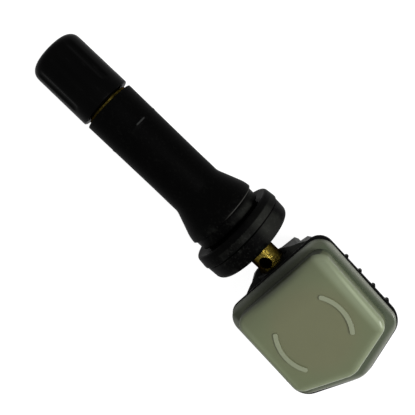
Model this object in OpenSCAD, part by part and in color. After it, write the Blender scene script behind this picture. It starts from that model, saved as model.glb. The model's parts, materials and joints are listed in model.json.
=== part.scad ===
// Snap-in rubber valve with a tyre pressure sensor on its inner end.
// X runs along the valve axis from cap to sensor, Z up is the lid side,
// and the origin is on the axis at the rubber flange's rim seat.

/* [Valve rubber] */
// Where the rubber stem ends below the cap
rubber_top_x = -30.9; // [-34:0.1:-28]
// Radius of the rubber stem at its top
stem_r = 5.3; // [4.8:0.05:5.8]
// Radius of the rubber stem where the cone starts
stem_foot_r = 5.35; // [5:0.05:5.8]
// Where the cone starts
cone_x = -8.4; // [-11:0.1:-7]
// Where the bulb is widest
bulb_x = -2.5; // [-4:0.1:-2.2]
// Largest radius of the bulb
bulb_r = 7.45; // [7.1:0.05:8]
// Radius of the land between bulb and groove
neck_r = 7.05; // [6.6:0.05:7.1]
// Width of the groove that the rim sits in
groove_w = 0.95; // [0.7:0.05:1.5]
// Radius at the bottom of that groove
groove_r = 6.2; // [5.9:0.05:6.5]
// How deep the flange's face is dished towards the groove
dish_t = 0.85; // [0.3:0.05:1]
// Radius of the flange at the rim seat
flange_r = 9.15; // [8.7:0.05:9.3]
// Radius of the flange at its parting line
flange_step_r = 9.35; // [9.3:0.05:9.8]
// Thickness of the flange up to the parting line
flange_t = 2.6; // [2:0.1:3]
// Radius of the base under the flange
base_r = 9.15; // [8.9:0.05:9.3]
// Whole height of the rubber under the rim seat
base_h = 6.2; // [5.5:0.05:7.2]
// Radius of the base's rounded edge
base_edge = 1.3; // [0.6:0.1:1.6]
// Place of the fine mould ring on the stem
ring_x = -24.8; // [-29:0.1:-14]

/* [Brass stem] */
// Radius of the mouth thread over its crests
mouth_r = 3.85; // [3.7:0.01:3.95]
// Length of thread that stands out of the rubber
mouth_l = 9.3; // [8:0.1:11]
// Radius of the stem inside the rubber
core_r = 3.3; // [3.1:0.05:3.6]
// Radius of the anchor collar inside the rubber foot
anchor_r = 4.7; // [4.2:0.1:5.5]
// Thickness of the anchor collar
anchor_t = 1.8; // [1.2:0.1:2.4]
// Radius of the bare end that carries the sensor
end_r = 2.65; // [2.55:0.01:2.75]
// How far that end reaches past the rim seat
end_x = 14; // [13.8:0.1:14.6]
// Radius of the air passage
air_r = 1.3; // [1:0.05:1.5]
// Place of the air hole across the bare end
air_hole_x = 9.8; // [9:0.1:9.9]
// Radius of the air hole
air_hole_r = 1.15; // [0.9:0.05:1.25]
// Turn of the air hole about the valve axis
air_hole_turn = 8; // [-20:1:20]
// Number of teeth on the splined length
spline_n = 24; // [16:1:30]
// Height of a spline tooth
spline_h = 0.18; // [0.1:0.01:0.25]

/* [Valve core] */
// Radius of the core chamber at the mouth
chamber_r = 2.6; // [2.45:0.05:2.7]
// Depth of the chamber down to its sealing cone
chamber_l = 4.6; // [4:0.1:5]
// Length of the sealing cone
seat_l = 2; // [1.6:0.1:2.4]
// Radius of the passage past the cone
throat_r = 1.95; // [1.85:0.05:2.1]
// Radius of the core pin
pin_r = 0.48; // [0.4:0.01:0.5]
// Depth of the pin's head below the mouth
pin_inset = 0.25; // [0:0.05:0.6]
// Travel of the core pin
pin_travel = 1.2; // [0.8:0.1:1.4]
// Number of turns of the core spring
spring_turns = 7; // [5:1:9]
// Radius of the spring's wire
spring_wire_r = 0.1; // [0.08:0.01:0.11]

/* [Cap] */
// Gap between the cap's rim and the rubber
cap_gap = 0.7; // [0.3:0.05:0.9]
// Length of the cap
cap_l = 12.95; // [12.5:0.05:15]
// Outer radius of the cap
cap_r = 5.35; // [5:0.05:5.6]
// Radius of the cap's rounded end
cap_edge = 1.7; // [1:0.1:2]
// Number of flutes round the cap
flute_n = 8; // [6:1:12]
// Depth of a flute
flute_d = 0.22; // [0.15:0.01:0.35]
// Radius of the flute's cutter
flute_r = 1.8; // [1.2:0.05:2]
// Length of a flute
flute_l = 8.6; // [6:0.1:9]
// Turn of the flutes about the valve axis
flute_turn = 7; // [-20:1:20]
// Clearance of the cap on the thread, on the radius
thread_gap = 0.05; // [0.03:0.01:0.08]
// Thickness of the seal in the cap
seal_t = 0.9; // [0.7:0.05:1.2]

/* [Sensor body] */
// Place of the lid's front edge along the valve axis
lid_x = 11.2; // [11.1:0.01:12]
// Height of that edge above the valve axis
lid_z = 5.86; // [5.6:0.01:6.2]
// Angle of the lid to the valve axis
body_tilt = 17; // [15:0.5:18]
// Width of the lid's welded ring
ring_w = 22.8; // [22:0.1:24]
// Length of the ring's straight sides
ring_l = 19.9; // [19:0.1:20.5]
// How far the pointed end stands out past the sides
tip_l = 3.7; // [3.5:0.1:5]
// Corner radius of the ring on the valve side
front_corner_r = 3.9; // [3:0.1:4.5]
// Corner radius where the sides meet the pointed end
side_corner_r = 3.2; // [2.6:0.1:3.8]
// Radius of the pointed end
tip_r = 7.2; // [6:0.1:8]
// Thickness of the welded ring
ring_t = 0.9; // [0.8:0.1:1.4]
// Width of the ring that shows round the dome
ring_show = 1.3; // [1.2:0.05:1.8]
// Height of the dome over the ring
dome_h = 4.4; // [4:0.1:4.8]
// How far the dome's sides lean in from foot to top
dome_lean = 0.25; // [0.1:0.05:0.4]
// Radius of the dome's upper edge
dome_edge = 1.1; // [0.8:0.1:1.4]
// Corner radius of the dome on the valve side
dome_corner_r = 2; // [1.4:0.1:2.6]
// Wall of the lid
lid_wall = 1.1; // [0.9:0.05:1.3]
// Diameter of the circle that the two raised arcs lie on
arc_d = 13.1; // [11:0.1:14]
// How far that circle's centre lies behind the coin cell's
arc_u = 0.5; // [0:0.1:1]
// Side offset of that circle from the middle line
arc_y = -0.5; // [-1:0.1:1]
// Width of a raised arc
arc_w = 0.85; // [0.6:0.05:1]
// Height of a raised arc
arc_h = 0.25; // [0.15:0.05:0.4]
// Angle that each arc spans
arc_span = 70; // [40:1:80]

/* [Housing] */
// Depth of the housing below the top of the ring
body_h = 13.6; // [13:0.1:14.2]
// Thickness of the housing's top rim
rim_t = 0.8; // [0.6:0.1:1.2]
// How far the rim stands out past the lid
rim_out = 0.45; // [0.2:0.05:0.6]
// Corner radius of the rim on the valve side
rim_corner_r = 2.3; // [1.8:0.1:3]
// How far the wall stands back from the rim
wall_in = 1; // [0.7:0.05:1.3]
// Thickness of the housing's wall
wall_t = 1.4; // [1.2:0.05:1.6]
// How much each wall leans in from top to bottom
draft = 1; // [0.4:0.1:1.4]
// Bevel round the underside
foot_bevel = 0.8; // [0.4:0.1:1.2]
// Place of the collar's front face on the valve axis
boss_x = 11.15; // [11.05:0.05:11.3]
// Radius of the collar round the valve's end
boss_r = 4; // [3.7:0.1:4.4]
// How far the cradle under the valve's end stands out past the lid
cradle_out = 2.65; // [2:0.05:3]
// Width of the cradle's front face
cradle_w = 5.9; // [5.5:0.1:8]
// Width of the cradle's front face at its foot
cradle_foot_w = 10.6; // [9:0.1:11]
// Width of the cradle's wings where they meet the housing
cradle_back_w = 18.6; // [17:0.1:19]
// How far the wings stand out past the lid
wing_out = 1.3; // [1:0.05:1.6]
// How much narrower the wings are at the foot, on each side
cradle_draft = 1.2; // [0.5:0.1:2]
// Depth of the cradle's top below the lid's ring
cradle_drop = 5; // [4.4:0.1:5.4]
// Clearance of the valve's end in the collar, on the radius
socket_gap = 0.05; // [0.03:0.01:0.1]
// Thickness of the web under the screw's head
web_t = 2.4; // [2:0.1:2.6]
// Radius of the channel for the screwdriver
channel_r = 3.4; // [3.2:0.05:3.6]
// Thickness of the channel's wall inside the housing
channel_wall = 1.1; // [0.9:0.05:1.3]
// Height of the upright part of the cradle's foot
foot_h = 2.3; // [1.5:0.1:4]
// Number of nubs along each side
nub_n = 4; // [3:1:4]
// Distance between two nubs
nub_pitch = 3.4; // [3:0.1:4]
// Width of a nub
nub_w = 0.8; // [0.6:0.05:1.1]
// How far a nub stands out of the rim
nub_out = 0.25; // [0.2:0.05:0.5]
// Height of a nub
nub_h = 1.5; // [1:0.1:2]
// Radius of the pressure port
port_r = 0.9; // [0.7:0.05:1.1]

/* [Screw] */
// Radius of the screw's head
head_r = 2.75; // [2.5:0.05:2.9]
// Height of the screw's head
head_h = 2; // [1.6:0.1:2.2]
// Radius of the screw's thread
screw_r = 1.5; // [1.3:0.05:1.5]
// Clearance of the screw in the stem, on the radius
screw_gap = 0.05; // [0.03:0.01:0.08]
// Length of the screw below its head
screw_l = 5; // [4.6:0.1:5.2]
// Radius of the star recess over its points
lobe_r = 1.35; // [1.1:0.05:1.5]

/* [Electronics] */
// Clearance of the coin cell in the dome, all round
cell_side_gap = 0.7; // [0.3:0.05:1]
// Thickness of the coin cell
cell_t = 3.2; // [2.5:0.1:3.2]
// Thickness of the circuit board
board_t = 0.8; // [0.6:0.1:1]
// Thickness of the cell's metal tabs
tab_t = 0.2; // [0.15:0.01:0.25]
// Width of the cell's metal tabs
tab_w = 3; // [2:0.1:4]
// Gap between the cell and the dome's ceiling
cell_gap = 0.4; // [0.3:0.05:0.6]
// Side of the sensor chip
chip_w = 6; // [5:0.1:6.5]
// Height of the sensor chip
chip_h = 1.9; // [1.5:0.1:2.1]
// Length of the low-frequency coil
coil_l = 7.5; // [6:0.1:8]
// Side of the coil's winding
coil_w = 2.6; // [2:0.1:3]
// Length of the antenna's strap
antenna_l = 5.2; // [4:0.1:5.6]
// Depth of the antenna below the board
antenna_h = 3; // [2:0.1:3.4]
// Clearance of the board inside the housing's wall
board_gap = 0.35; // [0.2:0.05:0.5]

/* [Hidden] */
$fn = 64;
fit = 0.02;          // face to face clearance between pieces that are assembled
past = 1;            // how far a cutter runs past the face it cuts

mouth_x = rubber_top_x - mouth_l;
cap_rim_x = rubber_top_x - cap_gap;
cap_tip_x = cap_rim_x - cap_l;
seat_x = mouth_x + chamber_l;
throat_x = seat_x + seat_l;
core_end_x = throat_x + 3;
cup_l = 1.1;
cup_end_x = core_end_x + cup_l;
plug_end_x = seat_x - 1;
barrel_top_x = plug_end_x - 0.6;
spring_stop_x = barrel_top_x + 1;    // where the barrel's spring room starts
spring_end_x = core_end_x - 0.9;     // and where it ends
web_x = end_x;                       // the valve's end rests on the web
head_x = web_x + web_t;              // the screw's head rests on its other face
screw_tip_x = head_x - screw_l;
collar_t = 0.3;                      // thickness of the pin's spring collar
core_gap = 0.07;                     // clearance of the pin in the barrel, on the radius
barrel_r = 1.15;
barrel_bore_r = 0.92;

// Heights in the sensor body's frame, from the dome's ceiling down
board_drop = 0.6;                    // air between the cell's tabs and the board
cell_top = dome_h - lid_wall - cell_gap;
cell_bottom = cell_top - cell_t;
board_top = cell_bottom - 2 * tab_t - board_drop;
board_bottom = board_top - board_t;

// The coin cell touches the same clearance at the dome's front, sides and pointed end
room_in = ring_show + lid_wall + dome_lean;
tip_slope = (ring_w / 2) / norm([ring_w / 2, tip_l]);
room_l = (tip_slope * (ring_l + tip_l - room_in) - room_in) / (1 + tip_slope);
cell_r = min(ring_w / 2 - room_in, room_l) - cell_side_gap;
cell_u = room_in + cell_side_gap + cell_r;

// Places on the board, from its front edge and its sides
board_in = wall_in + wall_t + board_gap;
board_y = ring_w / 2 - board_in;
post_r = 1.3;
peg_r = 0.75;
edge_in = 0.3;                       // least distance of a part from the board's edge
port_back = 8.2;                     // port before the end of the ring's straight sides
port_side = 2.45;                    // port from the board's edge
coil_side = 0.8;                     // coil from the board's edge
crystal_back = 5.8;
crystal_side = 6.6;
post_at = [for (i = [1, 3]) corners(board_in + post_r + 0.2, 0)[i]];
port_at = [ring_l - port_back, -board_y + port_side];
coil_at = [board_in + edge_in + coil_l / 2 + antenna_h, board_y - coil_side - coil_w / 2];
crystal_at = [ring_l - crystal_back, board_y - crystal_side];

// The pressure port's gasket is squeezed between a tower on the floor and the chip
gasket_r = port_r + 0.7;
gasket_t = 1.2;
tower_top = board_bottom - chip_h - gasket_t;
filter_t = 0.3;
cell_step = 0.5;                     // rolled step at the cell's lower edge
coil_cheek = 1;                      // thickness of the ferrite core's end cheeks

// Corner points of the ring's outline, valve side first, as [u, y, radius]
function corners(o, front_r) =
    let (end_u = ring_l + tip_l - o * norm([ring_w / 2, tip_l]) / (ring_w / 2),
         side_u = end_u - (ring_w / 2 - o) * tip_l / (ring_w / 2))
    [[o, -ring_w / 2 + o, front_r], [side_u, -ring_w / 2 + o, side_corner_r], [end_u, 0, tip_r],
     [side_u, ring_w / 2 - o, side_corner_r], [o, ring_w / 2 - o, front_r]];

function unit(v) = v / norm(v);

// Points of one rounded corner of the outline, b with its neighbours a and c
function round_corner(a, b, c, r, steps) =
    let (p = [b[0], b[1]],
         da = unit([a[0], a[1]] - p),
         dc = unit([c[0], c[1]] - p),
         half = acos(da * dc) / 2,
         centre = p + unit(da + dc) * r / sin(half),
         foot = p + da * r / tan(half) - centre,
         start = atan2(foot[1], foot[0]),
         sweep = 180 - 2 * half)
    [for (i = [0:steps]) centre + r * [cos(start + sweep * i / steps),
                                       sin(start + sweep * i / steps)]];

// The rounded pentagon, drawn in by o on every side; no corner is tighter than least_r
function outline(o, least_r, front_r, steps) =
    let (k = corners(o, front_r), n = len(k))
    [for (i = [0:n - 1])
        each round_corner(k[(i + n - 1) % n], k[i], k[(i + 1) % n],
                          max(least_r, k[i][2] - (i == 2 ? 0 : o)), steps)];

// A solid between stacked outlines, given as [inset, height] pairs from the bottom up
module stack(levels, least_r = 1, front_r = front_corner_r, steps = 8) {
    rows = [for (l = levels) [for (p = outline(l[0], least_r, front_r, steps)) [p[0], p[1], l[1]]]];
    n = len(rows[0]);
    m = len(rows);
    points = [for (r = rows) each r];
    sides = [for (j = [0:m - 2], i = [0:n - 1])
        [j * n + i, (j + 1) * n + i, (j + 1) * n + (i + 1) % n, j * n + (i + 1) % n]];
    bottom = [for (i = [0:n - 1]) i];
    top = [for (i = [n - 1:-1:0]) (m - 1) * n + i];
    polyhedron(points, concat(sides, [bottom, top]), convexity = 4);
}

// Puts its children in the sensor body's frame: X along the lid, Z out of it
module in_body() {
    translate([lid_x, 0, lid_z]) rotate([0, -body_tilt, 0]) children();
}

// Turns a shape made along Z so that it runs along the valve axis from x
module on_axis(x = 0) {
    translate([x, 0, 0]) rotate([0, 90, 0]) children();
}

// A solid turned about the valve axis from [x, radius] points
module turned(points) {
    rotate([0, 90, 0]) rotate_extrude() polygon([for (p = points) [p[1], p[0]]]);
}

// Points of a quarter round in a turned profile, from angle a to angle b
function bend(x, r, radius, a, b, steps = 6) =
    [for (i = [0:steps]) let (t = a + (b - a) * i / steps) [x + radius * cos(t), r + radius * sin(t)]];

module valve_rubber() {
    top_edge = 0.2;
    mark_h = 0.12;
    bulb_bend = 7;       // radius of the gentle curve up to the bulb's sharp edge
    lip = 0.12;
    lip_w = 0.5;
    seat_edge = 0.6;
    land_x = dish_t - groove_w;
    difference() {
        color([0.07, 0.07, 0.075]) turned(concat(
            [[rubber_top_x, mouth_r - 0.35]],
            bend(rubber_top_x + top_edge, stem_r - top_edge, top_edge, 180, 90, 3),
            [[ring_x - 0.25, stem_r], [ring_x - 0.1, stem_r + mark_h],
             [ring_x + 0.1, stem_r + mark_h], [ring_x + 0.25, stem_r]],
            bend(cone_x - 0.9, stem_foot_r + 3, 3, 270, 290),
            bend(bulb_x - bulb_bend * cos(95), bulb_r - bulb_bend * sin(95), bulb_bend, 110, 95, 4),
            [[bulb_x + 0.1, bulb_r - 0.05], [bulb_x + lip_w / 2, neck_r + lip], [bulb_x + lip_w, neck_r]],
            bend(land_x - 0.4, neck_r - 0.4, 0.4, 90, 0),
            bend(land_x + 0.3, groove_r + 0.3, 0.3, 180, 270, 3),
            [[dish_t, groove_r]],
            bend(seat_edge, flange_r - seat_edge, seat_edge, 180, 95, 4),
            [[flange_t - 0.4, flange_step_r], [flange_t, flange_step_r], [flange_t, base_r]],
            bend(base_h - base_edge, base_r - base_edge - 0.1, base_edge, 84, 0),
            [[base_h, end_r]]));
        stem_cutter();
    }
}

// What the brass fills inside the rubber
module stem_cutter() {
    turned([[rubber_top_x - past, 0], [rubber_top_x - past, mouth_r], [rubber_top_x + 1.2, mouth_r],
            [rubber_top_x + 1.2, core_r], [1, core_r], [1, anchor_r], [1 + anchor_t, anchor_r],
            [1 + anchor_t + 1, end_r + 0.5], [base_h - 0.8, end_r + 0.5],
            [base_h - 0.8, end_r], [base_h + past, end_r], [base_h + past, 0]]);
}

module spline_ring(x0, x1) {
    teeth = [for (i = [0:2 * spline_n - 1])
        let (a = i * 180 / spline_n, r = end_r - 0.1 + (i % 2) * (spline_h + 0.1)) [r * cos(a), r * sin(a)]];
    on_axis(x0) linear_extrude(x1 - x0) polygon(teeth);
}

module valve_stem() {
    spline_x = air_hole_x + air_hole_r + 0.15;
    color([0.66, 0.55, 0.22]) difference() {
        union() {
            turned([[mouth_x, 0], [mouth_x, mouth_r - 0.5], [mouth_x + 0.5, mouth_r],
                    [rubber_top_x + 1.2, mouth_r], [rubber_top_x + 1.2, core_r], [1, core_r],
                    [1, anchor_r], [1 + anchor_t, anchor_r], [1 + anchor_t + 1, end_r + 0.5],
                    [base_h - 0.8, end_r + 0.5], [base_h - 0.8, end_r],
                    [end_x - 0.3, end_r], [end_x, end_r - 0.3], [end_x, 0]]);
            spline_ring(spline_x, boss_x + 0.4);
        }
        turned([[mouth_x - past, 0], [mouth_x - past, chamber_r + 0.2], [mouth_x, chamber_r + 0.2],
                [mouth_x + 0.3, chamber_r], [seat_x, chamber_r], [throat_x, throat_r],
                [cup_end_x + pin_travel + 0.4, throat_r], [cup_end_x + pin_travel + 1.2, air_r],
                [air_hole_x, air_r], [air_hole_x, 0]]);
        rotate([air_hole_turn, 0, 0]) translate([air_hole_x, 0, 0]) {
            cylinder(r = air_hole_r, h = end_r + past);
            translate([0, 0, end_r - 0.35]) cylinder(r1 = air_hole_r, r2 = air_hole_r + 0.7, h = 0.7);
        }
        on_axis(screw_tip_x - 0.3) cylinder(r = screw_r + screw_gap, h = end_x - screw_tip_x + past);
    }
}

module core_plug() {
    top_x = mouth_x + 0.5;
    slot_w = 1.7;
    color([0.72, 0.62, 0.3]) difference() {
        turned([[top_x, 0], [top_x, chamber_r - fit - 0.2], [top_x + 0.2, chamber_r - fit],
                [plug_end_x, chamber_r - fit], [plug_end_x, 0]]);
        on_axis(top_x - past) cylinder(r = barrel_bore_r, h = chamber_l + 2 * past);
        for (s = [-1, 1])
            translate([top_x - past, -chamber_r, s > 0 ? slot_w / 2 : -slot_w / 2 - chamber_r])
                cube([past + 1.6, 2 * chamber_r, chamber_r]);
        on_axis(barrel_top_x) cylinder(r = barrel_r + fit, h = past);
    }
}

module core_barrel() {
    color([0.78, 0.74, 0.62]) difference() {
        turned([[barrel_top_x, 0], [barrel_top_x, barrel_r], [core_end_x, barrel_r], [core_end_x, 0]]);
        on_axis(barrel_top_x - past)
            cylinder(r = pin_r + core_gap, h = core_end_x - barrel_top_x + 2 * past);
        on_axis(spring_stop_x) cylinder(r = barrel_bore_r, h = spring_end_x - spring_stop_x);
    }
}

module core_gasket() {
    lean = (chamber_r - throat_r) / seat_l;
    start = plug_end_x;
    color([0.45, 0.07, 0.06]) difference() {
        turned([[start, 0], [start, chamber_r - fit], [seat_x, chamber_r - fit],
                [throat_x - 0.4, throat_r + 0.4 * lean - fit], [throat_x - 0.4, 0]]);
        on_axis(start - past) cylinder(r = barrel_r, h = seat_l + 3 * past);
    }
}

module core_pin() {
    tip_x = mouth_x + pin_inset;
    collar_r = barrel_bore_r - core_gap;
    end = core_end_x + 0.9;
    color([0.75, 0.65, 0.35])
        turned([[tip_x, 0], [tip_x, 0.6], [tip_x + 0.15, 0.75], [tip_x + 0.5, 0.75],
                [tip_x + 0.8, pin_r], [spring_stop_x, pin_r], [spring_stop_x, collar_r],
                [spring_stop_x + collar_t, collar_r], [spring_stop_x + collar_t, pin_r],
                [end, pin_r], [end, 0]]);
}

module core_cup() {
    cup_r = 1.5;
    color([0.55, 0.5, 0.35]) difference() {
        turned([[core_end_x, 0], [core_end_x, cup_r - 0.3], [core_end_x + 0.3, cup_r],
                [cup_end_x - 0.2, cup_r], [cup_end_x, cup_r - 0.4], [cup_end_x, 0]]);
        on_axis(core_end_x - past) cylinder(r = pin_r, h = past + 0.9);
    }
}

// The coil is swept from rings of points that turn round the pin
module core_spring() {
    coil_r = (pin_r + barrel_bore_r) / 2;
    sides = 6;
    per_turn = 14;
    steps = spring_turns * per_turn;
    x0 = spring_stop_x + collar_t + spring_wire_r;
    x1 = spring_end_x - spring_wire_r;
    points = [for (i = [0:steps], k = [0:sides - 1])
        let (a = 360 * i / per_turn, b = 360 * k / sides, r = coil_r + spring_wire_r * cos(b))
        [x0 + (x1 - x0) * i / steps + spring_wire_r * sin(b), r * cos(a), r * sin(a)]];
    skin = [for (i = [0:steps - 1], k = [0:sides - 1])
        [i * sides + k, i * sides + (k + 1) % sides, (i + 1) * sides + (k + 1) % sides, (i + 1) * sides + k]];
    start_face = [for (k = [sides - 1:-1:0]) k];
    end_face = [for (k = [0:sides - 1]) steps * sides + k];
    color([0.6, 0.6, 0.62]) polyhedron(points, concat(skin, [start_face, end_face]), convexity = 10);
}

module valve_cap() {
    bore_x = mouth_x - seal_t;
    nose_r = 2.6;
    flute_start = cap_rim_x - 3.4;
    color([0.06, 0.06, 0.065]) difference() {
        turned(concat(
            [[cap_rim_x, 0], [cap_rim_x, cap_r - 0.4]],
            bend(cap_rim_x - 0.3, cap_r - 0.3, 0.3, 0, 90, 3),
            bend(cap_tip_x + cap_edge, cap_r - 0.15 - cap_edge, cap_edge, 90, 180),
            [[cap_tip_x, 0]]));
        on_axis(bore_x) cylinder(r = mouth_r + thread_gap, h = cap_rim_x - bore_x + past);
        on_axis(bore_x - 1.2) cylinder(r = nose_r, h = 1.2 + past);
        for (i = [0:flute_n - 1]) rotate([flute_turn + i * 360 / flute_n, 0, 0])
            translate([flute_start, 0, cap_r + flute_r - flute_d]) rotate([0, -90, 0]) {
                cylinder(r = flute_r, h = flute_l, $fn = 40);
                sphere(r = flute_r, $fn = 40);
            }
    }
}

module cap_seal() {
    hole_r = 1.6;
    color([0.1, 0.1, 0.1]) on_axis(mouth_x - seal_t) difference() {
        cylinder(r = mouth_r - 0.1, h = seal_t);
        translate([0, 0, -past]) cylinder(r = hole_r, h = seal_t + 2 * past);
    }
}

// Star recess, made of a round core, six lobes and six hollows
module lobes(depth) {
    difference() {
        union() {
            cylinder(r = lobe_r * 0.84, h = depth);
            for (i = [0:5]) rotate(i * 60) translate([lobe_r * 0.78, 0, 0])
                cylinder(r = lobe_r * 0.22, h = depth, $fn = 16);
        }
        for (i = [0:5]) rotate(i * 60 + 30) translate([lobe_r * 0.98, 0, -past])
            cylinder(r = lobe_r * 0.26, h = depth + 2 * past, $fn = 16);
    }
}

module retaining_screw() {
    recess = 1.3;
    color([0.6, 0.6, 0.62]) difference() {
        turned(concat(
            [[screw_tip_x, 0], [screw_tip_x, screw_r - 0.4], [screw_tip_x + 0.4, screw_r],
             [head_x, screw_r], [head_x, head_r - 0.2]],
            [[head_x + 0.2, head_r]],
            bend(head_x + head_h - 0.7, head_r - 0.7, 0.7, 90, 0, 4),
            [[head_x + head_h, 0]]));
        on_axis(head_x + head_h - recess) lobes(recess + past);
    }
}

// Half plan mirrored: points on one side from the front out to the back, as [u, y]
module both_sides(half) {
    polygon(concat(half, [for (i = [len(half) - 1:-1:0]) [half[i][0], -half[i][1]]]));
}

// A block whose plan changes from its top to its upright foot
module flared(top, foot) {
    slice = 0.1;
    foot_w = -body_h + foot_bevel + 1;
    hull() {
        translate([0, 0, -cradle_drop - slice]) linear_extrude(slice) both_sides(top);
        translate([0, 0, foot_w]) linear_extrude(foot_h) both_sides(foot);
    }
}

// Cradle under the valve's end: a narrow nose that widens to its foot, between two wings
module cradle() {
    back_u = wall_in + wall_t;
    nose = cradle_w / 2;
    nose_foot = cradle_foot_w / 2;
    wing = cradle_back_w / 2;
    wing_foot = wing - cradle_draft;
    in_body() {
        flared([[-cradle_out, nose], [-1, nose + 3.25], [back_u, nose + 3.25]],
               [[0.25 - cradle_out, nose_foot], [-1.6, nose_foot + 0.4], [back_u, nose_foot + 0.4]]);
        flared([[-wing_out, nose + 2.95], [0.2, wing], [back_u, wing]],
               [[0.45 - wing_out, wing_foot - 0.7], [0.1, wing_foot], [back_u, wing_foot]]);
    }
}

// Collar round the valve's end, behind the housing's front wall
module collar() {
    on_axis(boss_x) cylinder(r = boss_r, h = head_x - boss_x);
}

module nubs() {
    first = ring_l / 2 - nub_pitch * (nub_n - 1) / 2 + nub_pitch * 0.4;
    root = wall_in + rim_out + nub_out - nub_w / 2 + wall_t / 2;
    for (m = [0, 1], i = [0:nub_n - 1]) in_body() mirror([0, m, 0])
        translate([first + i * nub_pitch, ring_w / 2 + rim_out + nub_out - nub_w / 2,
                   -ring_t - rim_t / 2 - nub_h]) {
            cylinder(r = nub_w / 2, h = nub_h, $fn = 20);
            translate([-nub_w / 2, -root, 0]) cube([nub_w, root, nub_h]);
        }
}

// The inside of the housing: a tray, open at the top
module tray_hollow() {
    inner = wall_in + wall_t;
    stack([[inner + draft, -body_h + wall_t], [inner, -ring_t - rim_t], [inner, -ring_t + past]]);
}

// The channel over the screw, round above the valve axis and open below it
module channel(r) {
    far_x = lid_x + ring_l + tip_l + body_h;
    on_axis(web_x) cylinder(r = r, h = far_x - web_x);
    translate([web_x, -r, -2 * body_h]) cube([far_x - web_x, 2 * r, 2 * body_h]);
}

// Posts that carry the board, each with a peg through it
module posts() {
    in_body() for (p = post_at) translate([p[0], p[1], -body_h + wall_t - 0.1]) {
        cylinder(r = post_r, h = board_bottom + body_h - wall_t + 0.1);
        cylinder(r = peg_r, h = board_top + body_h - wall_t + 0.4);
    }
}

// Tower on the floor that carries the port up to its gasket
module port_tower() {
    in_body() translate([port_at[0], port_at[1], -body_h + wall_t - 0.1])
        cylinder(r = gasket_r + 0.4, h = tower_top + body_h - wall_t + 0.1);
}

// The outside of the housing's walls, which reach up into the rim
module shell() {
    in_body() stack([[wall_in + draft + foot_bevel, -body_h], [wall_in + draft, -body_h + foot_bevel],
                     [wall_in, -ring_t - rim_t], [wall_in, -ring_t - rim_t / 2]]);
}

module housing() {
    color([0.05, 0.05, 0.055]) difference() {
        union() {
            difference() {
                union() {
                    shell();
                    in_body() stack([[-rim_out, -ring_t - rim_t], [-rim_out, -ring_t]], 1, rim_corner_r);
                    cradle();
                    nubs();
                }
                in_body() tray_hollow();
            }
            collar();
            posts();
            port_tower();
            intersection() {
                channel(channel_r + channel_wall);
                shell();
            }
        }
        translate([head_x - web_x, 0, 0]) channel(channel_r);
        on_axis(base_h) cylinder(r = end_r + socket_gap, h = web_x - base_h);
        on_axis(web_x - past) cylinder(r = screw_r + 0.2, h = web_t + 2 * past);
        on_axis(base_h) cylinder(r = end_r + spline_h + 0.15, h = boss_x + 0.5 - base_h);
        in_body() translate([port_at[0], port_at[1], -body_h - past])
            cylinder(r = port_r, h = tower_top + body_h + 2 * past);
    }
}

module arc_bar(r, w, h, span) {
    rotate([0, 0, -span / 2]) rotate_extrude(angle = span) translate([r - w / 2, 0]) square([w, h]);
    for (a = [-span / 2, span / 2]) rotate(a) translate([r, 0, 0]) cylinder(r = w / 2, h = h, $fn = 24);
}

module lid() {
    color([0.42, 0.45, 0.36]) in_body() difference() {
        union() {
            stack([[0, -ring_t], [0, -0.3], [0.3, 0]]);
            stack(concat([[ring_show, -ring_t / 2]], [for (a = [0:15:90])
                [ring_show + dome_lean + dome_edge * (1 - cos(a)), dome_h - dome_edge * (1 - sin(a))]]),
                1, dome_corner_r + ring_show);
            translate([cell_u + arc_u, arc_y, dome_h - 0.1]) for (a = [90, 270]) rotate(a)
                arc_bar(arc_d / 2, arc_w, arc_h + 0.1, arc_span);
        }
        stack([[ring_show + lid_wall, -ring_t - past], [room_in, dome_h - lid_wall]],
              0.8, dome_corner_r + ring_show);
    }
}

module circuit_board() {
    color([0.1, 0.3, 0.16]) in_body() difference() {
        stack([[board_in, board_bottom], [board_in, board_top]]);
        for (p = post_at) translate([p[0], p[1], board_bottom - past])
            cylinder(r = peg_r + 0.05, h = board_t + 2 * past);
    }
}

module coin_cell() {
    color([0.75, 0.75, 0.76]) in_body() translate([cell_u, 0, cell_bottom]) {
        cylinder(r = cell_r - cell_step, h = cell_step);
        translate([0, 0, cell_step]) cylinder(r = cell_r, h = cell_t - cell_step);
    }
}

module tab_minus() {
    color([0.8, 0.8, 0.8]) in_body() translate([cell_u - tab_w, -tab_w / 2, 0]) {
        translate([0, 0, cell_bottom - tab_t]) cube([cell_r, tab_w, tab_t]);
        translate([0, 0, board_top]) cube([tab_t, tab_w, cell_bottom - board_top]);
    }
}

module tab_plus() {
    reach = cell_r + cell_side_gap / 2;
    color([0.8, 0.8, 0.8]) in_body() translate([cell_u, 0, 0]) {
        translate([0, -tab_w / 2, cell_top]) cube([reach + tab_t, tab_w, tab_t]);
        translate([reach, -tab_w / 2, board_top]) cube([tab_t, tab_w, cell_top - board_top]);
    }
}

module sensor_chip() {
    color([0.09, 0.09, 0.1]) in_body()
        translate([port_at[0] - chip_w / 2, port_at[1] - gasket_r - 0.2, board_bottom - chip_h])
            cube([chip_w, chip_w - 1, chip_h]);
}

module port_gasket() {
    color([0.5, 0.5, 0.5]) in_body() translate([port_at[0], port_at[1], tower_top]) difference() {
        cylinder(r = gasket_r, h = gasket_t);
        translate([0, 0, -past]) cylinder(r = port_r, h = gasket_t + 2 * past);
    }
}

module port_filter() {
    color([0.9, 0.9, 0.88]) in_body() translate([port_at[0], port_at[1], tower_top - filter_t])
        cylinder(r = port_r - fit, h = filter_t);
}

// The coil's ferrite core is an H with a square web, which the winding closes over
module coil_web(l) {
    web = coil_w / 2;
    translate([-l / 2, -web / 2, (coil_w - web) / 2]) cube([l, web, web]);
}

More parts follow.
